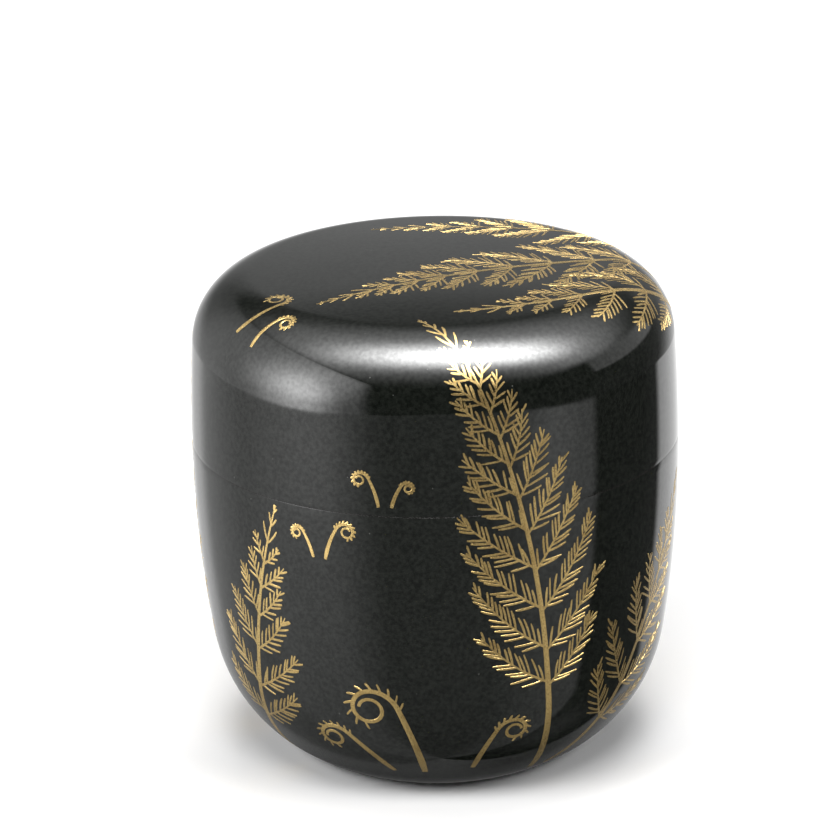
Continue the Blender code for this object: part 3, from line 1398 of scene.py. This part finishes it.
    def widths(self, half_width: float, shape: Shape, count: int) -> np.ndarray:
        """Return a stroke's half-width at each of its points, from its shape along its length."""
        return half_width * np.interp(np.linspace(0, 1, count), *shape)

    def brushed(self, sprigs: Sprigs) -> Strokes:
        """Draw short pointed strokes.

        Args:
            sprigs: The strokes as set out.

        Returns:
            The strokes, thick at the foot and pointed at the tip.
        """
        points, _ = sprigs.draw(self.brush, self.leaflet_steps)
        widths = self.widths(self.leaflet_half_width, self.leaflet_shape, points.shape[1])
        uneven = self.hand.uniform(*self.uneven_half_width, (len(points), 1))
        return Strokes(points, widths[None] * uneven)

    def frond_strokes(self, frond: Frond) -> list[Strokes]:
        """Draw a whole frond.

        Args:
            frond: The frond.

        Returns:
            Its stem, its leaves' ribs and its leaflets.
        """
        stem, ways = self.stem_of(frond)
        stem_width = self.widths(self.stem_half_width, self.stem_shape, len(stem))
        leaves, plain = self.leaves_of(frond, stem, ways)
        paths, directions = leaves.draw(self.brush, self.leaf_steps)
        rib_width = self.widths(self.rib_half_width, self.rib_shape, self.leaf_steps + 1)
        ribs = Strokes(paths, np.repeat(rib_width[None], len(paths), axis=0))
        leaflets = self.brushed(self.leaflets_of(leaves, paths, directions))
        return [Strokes(stem[None], stem_width[None]), ribs, leaflets, self.brushed(plain)]

    def shoot_strokes(self, shoot: Shoot) -> list[Strokes]:
        """Draw a young shoot, whose turn tightens into a curl with buds along its back.

        Args:
            shoot: The shoot.

        Returns:
            The shoot's stem, and its buds.
        """
        steps = self.stem_steps
        start, heading = self.brush.aim(shoot.azimuth, shoot.along, shoot.heading)
        share = np.linspace(0.0, 1.0, steps)
        start_rate, gain = self.curl_turning
        curling = start_rate + gain * (share - self.straight_share)
        rate = np.where(share < self.straight_share, self.straight_turning, curling)
        turns = math.radians(shoot.curl) * rate / rate.sum()
        points, ways = self.brush.trace(
            start[None], heading[None], np.array([shoot.length]), turns[None]
        )
        half_width = shoot.thickness * self.stem_half_width
        widths = self.widths(half_width, self.shoot_shape, steps + 1)
        buds = Sprigs()
        outward = -math.copysign(1.0, shoot.curl)
        angle = np.array(outward * math.radians(self.bud_angle))
        bend = -outward * math.radians(self.bud_bend)
        for index in range(int(self.straight_share * steps), int(self.last_bud * steps), 2):
            normal = self.outline.project(points[0, index])[1]
            heading = self.brush.turn(ways[0, index], normal, angle)
            buds.add(points[0, index], heading, shoot.length * self.bud_length, bend)
        return [Strokes(points, widths[None]), self.brushed(buds)]

    def as_mesh(self, name: str, sets: list[Strokes]) -> bpy.types.Object:
        """Make one mesh of closed round strokes, pressed into low relief.

        Args:
            name: The mesh's name.
            sets: The strokes.

        Returns:
            The mesh object.
        """
        curve = bpy.data.curves.new(name, "CURVE")
        curve.dimensions = "3D"
        curve.bevel_depth = 1.0
        curve.bevel_resolution = 2
        curve.use_fill_caps = True
        for strokes in sets:
            for points, widths in zip(strokes.points, strokes.half_widths):
                spline = curve.splines.new("POLY")
                spline.points.add(len(points) - 1)
                flat = np.concatenate([points, np.ones((len(points), 1))], axis=1)
                spline.points.foreach_set("co", flat.ravel())
                spline.points.foreach_set("radius", widths.ravel())
        piece = bpy.data.objects.new(name, curve)
        bpy.context.scene.collection.objects.link(piece)
        select_only(piece)
        bpy.ops.object.convert(target="MESH")
        piece = bpy.context.object
        bpy.ops.object.mode_set(mode="EDIT")
        bpy.ops.mesh.select_all(action="SELECT")
        bpy.ops.mesh.remove_doubles(threshold=FINE_WELD)
        bpy.ops.object.mode_set(mode="OBJECT")
        self.flatten(piece)
        return piece

    def flatten(self, piece: bpy.types.Object) -> None:
        """Press round strokes into low relief, so that broad ones have flat tops.

        Args:
            piece: The strokes of one piece.
        """
        count = len(piece.data.vertices)
        flat = np.empty(count * 3)
        piece.data.vertices.foreach_get("co", flat)
        points = flat.reshape(count, 3)
        on, normals = self.outline.project(points)
        height = np.sum((points - on) * normals, axis=-1)
        pressed = self.relief * np.tanh(self.relief_slope * height / self.relief)
        piece.data.vertices.foreach_set("co", (on + normals * pressed[:, None]).ravel())
        piece.data.update()

    def parted(self, piece: bpy.types.Object) -> dict[CadBody, bpy.types.Object]:
        """Cut a mesh of strokes along the joint between lid and body.

        Args:
            piece: The whole mesh, which becomes the body's.

        Returns:
            The parts that hold something, by the body that each rides on.
        """
        base = piece.name
        select_only(piece)
        bpy.ops.object.duplicate()
        parts = {CadBody.LID: bpy.context.object, CadBody.BODY: piece}
        kept: dict[CadBody, bpy.types.Object] = {}
        for body, part in parts.items():
            upper = body is CadBody.LID
            offset = SEAT_GAP / 2 if upper else -SEAT_GAP / 2
            select_only(part)
            bpy.ops.object.mode_set(mode="EDIT")
            bpy.ops.mesh.select_all(action="SELECT")
            bpy.ops.mesh.bisect(
                plane_co=(0.0, 0.0, self.outline.joint_height + offset),
                plane_no=(0.0, 0.0, 1.0),
                use_fill=True,
                clear_inner=upper,
                clear_outer=not upper,
            )
            bpy.ops.mesh.select_all(action="SELECT")
            bpy.ops.mesh.normals_make_consistent(inside=False)
            bpy.ops.object.mode_set(mode="OBJECT")
            if part.data.polygons:
                bpy.ops.object.shade_smooth_by_angle(angle=math.radians(self.edge_angle))
                part.name = part.data.name = f"{body.value}_{base}"
                kept[body] = part
            else:
                bpy.data.objects.remove(part)
        return kept

    def build(self) -> None:
        """Draw the clumps, and dress them in gold."""
        gold = GoldFinish().make()
        for clump in self.clumps:
            sets: list[Strokes] = []
            for frond in clump.fronds:
                sets += self.frond_strokes(frond)
            for shoot in clump.shoots:
                sets += self.shoot_strokes(shoot)
            whole = self.as_mesh(f"gold_{clump.name}", sets)
            for body, piece in self.parted(whole).items():
                dress(piece, gold)
                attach(piece, body.value)
                report(piece)


# ---------------------------------------------------------------- studio


@dataclass(frozen=True)
class Glow:
    """A soft patch of light, by its middle and its reach.

    On a sheet of the tent, which is taken one unit away from the caddy, both are in that unit.
    Elsewhere they are degrees of azimuth and elevation. A dark patch takes away a share of the
    light, and its radiance is that share.
    """

    middle: Point
    reach: Point
    radiance: float


@dataclass(frozen=True)
class Sector:
    """A sector of the table round the caddy: the azimuth where it begins, and its radiance."""

    azimuth: float
    soft: float
    radiance: float


@dataclass
class Surroundings:
    """The light tent that the lacquer mirrors, as radiance by direction.

    A translucent sheet hangs on the left and another overhead, each with a lamp behind it. A
    black flag stands on the right, the viewer's side is dark, and the table lies all round.
    An edge or a step is the place of its middle and the width that it is spread over. Angles are
    in degrees. The left sheet's edges, the ceiling's edge and its reach are in units of the
    sheet's distance from the caddy.
    """

    viewer_side: float = 0.135
    back_edge: Span = (140.0, 30.0)
    back_step: Span = (-2.0, 16.0)
    back_low: float = 1.05
    back_high: float = 0.42
    left_plain: float = 0.97
    left_glows: tuple[Glow, ...] = (
        Glow((-0.48, 0.065), (0.268, 0.310), 9.1),
        Glow((-0.65, 0.71), (0.54, 0.47), 3.0),
    )
    left_front_edge: Span = (-1.57, 0.58)
    left_back_edge: Span = (1.14, 1.26)
    left_top_edge: Span = (0.97, 0.06)
    ceiling_plain: float = 0.144
    ceiling_glows: tuple[Glow, ...] = (
        Glow((0.235, -0.240), (0.440, 0.222), 33.0),
        Glow((0.48, -0.185), (1.48, 0.59), 3.8),
    )
    ceiling_left_edge: Span = (-1.03, 0.30)
    ceiling_reach: Span = (2.2, 1.0)
    flag_near_edge: Span = (80.0, 4.0)
    flag_far_edge: Span = (130.0, 3.0)
    flag_top: Span = (8.0, 3.0)
    flag_radiance: float = 0.15
    over_flag: float = 0.91
    table_edge: float = -11.94
    table_edge_slope: float = -0.030
    table_edge_soft: float = 0.25
    table_front_step: Span = (-36.0, 24.0)
    table_front: Span = (0.34, 0.47)
    table_left: tuple[Sector, ...] = (
        Sector(38.0, 34.0, 1.10),
        Sector(92.0, 24.0, 0.77),
        Sector(142.0, 16.0, 1.25),
    )
    table_right: tuple[Sector, ...] = (
        Sector(39.4, 36.0, 0.72),
        Sector(79.0, 6.0, 0.11),
        Sector(129.0, 7.0, 1.42),
    )
    table_glows: tuple[Glow, ...] = (
        Glow((-61.0, -14.5), (13.0, 6.0), 0.55),
        Glow((56.0, -15.0), (9.4, 4.6), 0.50),
        Glow((96.0, -61.0), (18.0, 9.0), 0.34),
    )
    dark_patches: tuple[Glow, ...] = (
        Glow((-158.0, 15.0), (8.0, 24.0), 0.50),
        Glow((112.0, -12.0), (7.0, 7.0), 0.30),
        Glow((155.0, 3.0), (11.0, 9.0), 0.28),
        Glow((140.0, -62.0), (22.0, 13.0), 0.62),
    )

    def radiance(self, graph: Graph, direction: Value) -> bpy.types.NodeSocket:
        """Build the radiance as a function of direction.

        Args:
            graph: The world's graph.
            direction: The direction looked in, as a unit vector.

        Returns:
            The radiance.
        """
        parts = graph.node("SeparateXYZ")
        graph.feed(parts.inputs[0], direction)
        x, y, z = parts.outputs
        azimuth = graph.math("DEGREES", graph.math("ARCTAN2", x, graph.times(y, -1.0)))
        elevation = graph.math("DEGREES", graph.math("ARCSINE", z))
        leftward = graph.larger(graph.times(x, -1.0), LEAST_SHARE)
        upward = graph.larger(z, LEAST_SHARE)
        light: Value = self.viewer_side
        light = self._back(graph, light, azimuth, elevation)
        light = self._left_sheet(graph, light, graph.over(y, leftward), graph.over(z, leftward))
        light = self._flag(graph, light, azimuth, elevation)
        light = self._ceiling(graph, light, graph.over(x, upward), graph.over(y, upward))
        light = self._table(graph, light, azimuth, elevation)
        dark = self._glowing(graph, 0.0, self.dark_patches, azimuth, elevation)
        return graph.times(light, graph.less(1.0, dark))

    def _back(self, graph: Graph, light: Value, azimuth: Value, elevation: Value) -> Value:
        """Add the back of the tent, brighter low down.

        Args:
            graph: The graph to build in.
            light: The radiance so far.
            azimuth: The direction's azimuth in degrees.
            elevation: The direction's elevation in degrees.

        Returns:
            The radiance with it added.
        """
        mask = graph.rise(graph.size_of(azimuth), *self.back_edge)
        high = graph.rise(elevation, *self.back_step)
        return graph.blend(mask, light, graph.blend(high, self.back_low, self.back_high))

    def _left_sheet(self, graph: Graph, light: Value, away: Value, up: Value) -> Value:
        """Add the sheet on the left.

        Args:
            graph: The graph to build in.
            light: The radiance so far.
            away: How far to the back a direction meets the sheet.
            up: How high it meets the sheet.

        Returns:
            The radiance with it added.
        """
        front = graph.rise(away, *self.left_front_edge)
        mask = graph.times(front, graph.fall(away, *self.left_back_edge))
        mask = graph.times(mask, graph.fall(up, *self.left_top_edge))
        sheet = self._glowing(graph, self.left_plain, self.left_glows, away, up)
        return graph.blend(mask, light, sheet)

    def _flag(self, graph: Graph, light: Value, azimuth: Value, elevation: Value) -> Value:
        """Add the black flag on the right, and the lighter strip over it.

        Args:
            graph: The graph to build in.
            light: The radiance so far.
            azimuth: The direction's azimuth in degrees.
            elevation: The direction's elevation in degrees.

        Returns:
            The radiance with it added.
        """
        near = graph.rise(azimuth, *self.flag_near_edge)
        mask = graph.times(near, graph.fall(azimuth, *self.flag_far_edge))
        high = graph.rise(elevation, *self.flag_top)
        return graph.blend(mask, light, graph.blend(high, self.flag_radiance, self.over_flag))

    def _ceiling(self, graph: Graph, light: Value, right: Value, away: Value) -> Value:
        """Add the sheet overhead.

        Args:
            graph: The graph to build in.
            light: The radiance so far.
            right: How far to the right a direction meets the sheet.
            away: How far to the back it meets the sheet.

        Returns:
            The radiance with it added.
        """
        far = graph.larger(graph.size_of(right), graph.size_of(away))
        left = graph.rise(right, *self.ceiling_left_edge)
        mask = graph.times(left, graph.fall(far, *self.ceiling_reach))
        sheet = self._glowing(graph, self.ceiling_plain, self.ceiling_glows, right, away)
        return graph.blend(mask, light, sheet)

    def _table(self, graph: Graph, light: Value, azimuth: Value, elevation: Value) -> Value:
        """Add the table round the caddy, sector by sector.

        Args:
            graph: The graph to build in.
            light: The radiance so far.
            azimuth: The direction's azimuth in degrees.
            elevation: The direction's elevation in degrees.

        Returns:
            The radiance with it added.
        """
        table = graph.blend(graph.fall(elevation, *self.table_front_step), *self.table_front)
        leftward = graph.times(azimuth, -1.0)
        for side, sectors in ((leftward, self.table_left), (azimuth, self.table_right)):
            for sector in sectors:
                mask = graph.rise(side, sector.azimuth, sector.soft)
                table = graph.blend(mask, table, sector.radiance)
        table = self._glowing(graph, table, self.table_glows, azimuth, elevation)
        edge = graph.times(graph.size_of(azimuth), self.table_edge_slope)
        above = graph.less(elevation, graph.plus(edge, self.table_edge))
        return graph.blend(graph.fall(above, 0.0, self.table_edge_soft), light, table)

    def _glowing(
        self, graph: Graph, plain: Value, glows: tuple[Glow, ...], across: Value, along: Value
    ) -> Value:
        """Add soft patches to a plain radiance.

        Args:
            graph: The graph to build in.
            plain: The plain radiance.
            glows: The patches.
            across: The place across, in the unit of the patches.
            along: The place along, in the same unit.

        Returns:
            The radiance with the patches.
        """
        total = plain
        for glow in glows:
            squares: Value = 0.0
            for place, middle, reach in zip((across, along), glow.middle, glow.reach):
                off = graph.over(graph.less(place, middle), reach)
                squares = graph.plus(squares, graph.times(off, off))
            fall = graph.math("EXPONENT", graph.times(squares, -0.5))
            total = graph.plus(total, graph.times(fall, glow.radiance))
        return total


@dataclass
class Studio:
    """White paper, soft light all round, and the camera of the photograph."""

    outline: Outline
    surroundings: Surroundings = field(default_factory=Surroundings)
    camera_elevation: float = 21.13
    camera_distance: float = 462.0 * MM
    target_below_top: float = 31.35 * MM
    focal_pixels: float = 3379.0
    target_pixel: Point = (435.09, 480.69)
    roll: float = 1.12
    picture_width: float = 840.0
    sensor_width: float = 36.0
    floor_size: float = 6.0
    shade_size: float = 0.4
    squares: int = 8
    fill_light: float = 0.08
    backdrop_light: float = 1.3
    lamps: dict[str, tuple[tuple[float, float, float], float]] = field(
        default_factory=lambda: {
            "front_lamp": ((0.0, -0.47, 0.88), 1.35),
            "left_lamp": ((-0.68, -0.39, 0.62), 1.98),
            "right_lamp": ((0.68, -0.39, 0.62), 1.31),
            "back_lamp": ((0.0, 0.47, 0.88), 0.68),
            "back_right_lamp": ((0.235, 0.41, 0.88), 0.61),
            "overhead_lamp": ((0.0, 0.0, 1.0), 0.45),
        }
    )
    lamp_angle: float = 24.0
    contact_shade: float = 0.92
    contact_reach: float = 24.0 * MM
    contact_start: float = 22.0 * MM

    def build(self) -> None:
        """Build the floor, the lights and the camera."""
        self.add_floor()
        self.add_mirrored_shade()
        self.add_world()
        self.add_lamps()
        self.add_camera()
        bpy.context.scene.view_settings.view_transform = "Standard"

    def add_sheet(self, name: str, size: float) -> bpy.types.Object:
        """Add a flat square sheet under the caddy.

        Args:
            name: The sheet's name.
            size: Its width.

        Returns:
            The sheet.
        """
        deselect_all()
        count = self.squares
        bpy.ops.mesh.primitive_grid_add(x_subdivisions=count, y_subdivisions=count, size=size)
        sheet = bpy.context.object
        sheet.name = name
        return sheet

    def add_floor(self) -> None:
        """Lay the white paper that the caddy stands on."""
        floor = self.add_sheet("paper_floor", self.floor_size)
        floor.data.materials.append(FloorFinish().make())
        floor.visible_glossy = False

    def add_mirrored_shade(self) -> None:
        """Lay a clear sheet that darkens the table near the foot, in the lacquer's mirror alone."""
        sheet = self.add_sheet("mirrored_shade", self.shade_size)
        material = bpy.data.materials.new("mirrored_shade")
        material.use_nodes = True
        graph = Graph(material.node_tree)
        material.node_tree.nodes.remove(material.node_tree.nodes["Principled BSDF"])
        length = graph.node("VectorMath", operation="LENGTH")
        graph.feed(length.inputs[0], graph.place())
        beyond = graph.larger(graph.less(length.outputs["Value"], self.contact_start), 0.0)
        fade = graph.math("EXPONENT", graph.times(beyond, -1.0 / self.contact_reach))
        clear = graph.less(1.0, graph.times(fade, self.contact_shade))
        shader = graph.node("BsdfTransparent")
        graph.feed(shader.inputs["Color"], clear)
        output = material.node_tree.nodes["Material Output"]
        graph.feed(output.inputs["Surface"], shader.outputs[0])
        sheet.data.materials.append(material)
        for ray in ("camera", "diffuse", "shadow", "transmission", "volume_scatter"):
            setattr(sheet, f"visible_{ray}", False)

    def add_world(self) -> None:
        """Surround the caddy with white light, and let its lacquer mirror the light tent."""
        world = bpy.data.worlds.new("studio")
        world.use_nodes = True
        bpy.context.scene.world = world
        graph = Graph(world.node_tree)
        background = world.node_tree.nodes["Background"]
        rays = graph.node("LightPath")
        direction = graph.node("TexCoord").outputs["Generated"]
        plain = graph.blend(rays.outputs["Is Camera Ray"], self.fill_light, self.backdrop_light)
        mirrored = self.surroundings.radiance(graph, direction)
        light = graph.blend(rays.outputs["Is Glossy Ray"], plain, mirrored)
        graph.feed(background.inputs["Color"], light)

    def add_lamps(self) -> None:
        """Hang wide soft lamps over the paper, which the lacquer doesn't mirror."""
        for name, (place, strength) in self.lamps.items():
            data = bpy.data.lights.new(name, "SUN")
            data.energy = strength
            data.angle = math.radians(self.lamp_angle)
            lamp = bpy.data.objects.new(name, data)
            lamp.rotation_euler = Vector(place).to_track_quat("Z", "Y").to_euler()
            lamp.visible_camera = False
            lamp.visible_glossy = False
            bpy.context.scene.collection.objects.link(lamp)

    def add_camera(self) -> None:
        """Put the camera where the photograph was taken from."""
        elevation = math.radians(self.camera_elevation)
        target = Vector((0.0, 0.0, self.outline.total_height - self.target_below_top))
        back = Vector((0.0, -math.cos(elevation), math.sin(elevation)))
        place = target + back * self.camera_distance
        facing = back.to_track_quat("Z", "Y").to_matrix()
        half = self.picture_width / 2
        across, down = (self.target_pixel[0] - half), (self.target_pixel[1] - half)
        pan = Matrix.Rotation(math.atan(across / self.focal_pixels), 3, "Y")
        tilt = Matrix.Rotation(math.atan(down / self.focal_pixels), 3, "X")
        roll = Matrix.Rotation(math.radians(-self.roll), 3, "Z")
        data = bpy.data.cameras.new("camera")
        data.lens = self.focal_pixels * self.sensor_width / self.picture_width
        data.sensor_width = self.sensor_width
        camera = bpy.data.objects.new("camera", data)
        bpy.context.scene.collection.objects.link(camera)
        camera.matrix_world = Matrix.Translation(place) @ (facing @ tilt @ pan @ roll).to_4x4()
        bpy.context.scene.camera = camera


def wood_cores() -> None:
    """Dress the frame's turned wood, which lies hidden under the coats."""
    wood = WoodFinish().make()
    for name in ("body_wood_core", "lid_wood_core"):
        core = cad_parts[name]
        dress(core, wood)
        report(core)


CLUMPS = (
    Clump(
        "ferns_right",
        (
            Frond(30, 95 * MM, -5, 76 * MM, -24, 16.5 * MM, 0.24),
            Frond(36, 95 * MM, 32, 46 * MM, 16, 13.5 * MM, 0.22),
        ),
        (
            Shoot(9, 91 * MM, 8, 21 * MM, -520, 0.85),
            Shoot(-5, 92 * MM, -2, 33 * MM, 520),
            Shoot(-14, 92 * MM, -24, 23 * MM, 520, 0.9),
        ),
    ),
    Clump(
        "ferns_left",
        (
            Frond(-86, 94 * MM, -3, 58 * MM, 5, 9.5 * MM, 0.22),
            Frond(-56, 95 * MM, 10, 44 * MM, 12, 13 * MM, 0.22),
        ),
        (
            Shoot(-26, 58 * MM, 10, 12 * MM, -500, 0.55),
            Shoot(-29, 58 * MM, -12, 9 * MM, 500, 0.5),
            Shoot(-10, 50 * MM, 12, 8 * MM, -500, 0.5),
            Shoot(-13, 50 * MM, -8, 10 * MM, 500, 0.5),
        ),
    ),
    Clump(
        "ferns_lid",
        (
            Frond(100, 36 * MM, -8, 55 * MM, -14, 14 * MM, 0.16),
            Frond(96, 37 * MM, -50, 42 * MM, 36, 12 * MM, 0.16),
            Frond(108, 37 * MM, 38, 44 * MM, -20, 12 * MM, 0.16),
        ),
        (
            Shoot(-58, 31 * MM, 24, 17 * MM, 520, 0.7),
            Shoot(-50, 32 * MM, 2, 13 * MM, -520, 0.6),
        ),
    ),
    Clump(
        "ferns_side",
        (
            Frond(104, 95 * MM, -8, 46 * MM, 14, 12 * MM, 0.24),
            Frond(108, 95 * MM, 26, 38 * MM, 20, 10.5 * MM, 0.24),
        ),
        (Shoot(128, 94 * MM, 8, 15 * MM, -540), Shoot(134, 95 * MM, 14, 11 * MM, 540, 0.85)),
    ),
    Clump(
        "ferns_back",
        (
            Frond(172, 95 * MM, 8, 64 * MM, 22, 13.5 * MM, 0.30),
            Frond(166, 95 * MM, -28, 42 * MM, -16, 11.5 * MM, 0.24),
            Frond(178, 95 * MM, 24, 30 * MM, 18, 9.5 * MM, 0.26),
        ),
    ),
    Clump(
        "ferns_far_side",
        (
            Frond(-118, 95 * MM, 10, 48 * MM, -18, 12 * MM, 0.24),
            Frond(-126, 95 * MM, -17, 34 * MM, -12, 9.5 * MM, 0.24),
        ),
        (Shoot(-98, 94 * MM, -4, 14 * MM, 540), Shoot(-92, 95 * MM, 8, 10 * MM, -540, 0.85)),
    ),
)


def main() -> None:
    """Build the caddy and its studio."""
    logging.basicConfig(level=logging.INFO, format="%(message)s")
    outline = Outline.of_frame()
    wood_cores()
    Lid(outline).build()
    Body(outline).build()
    GoldDrawing(outline, CLUMPS).build()
    Studio(outline).build()


if __name__ == "__main__":
    main()
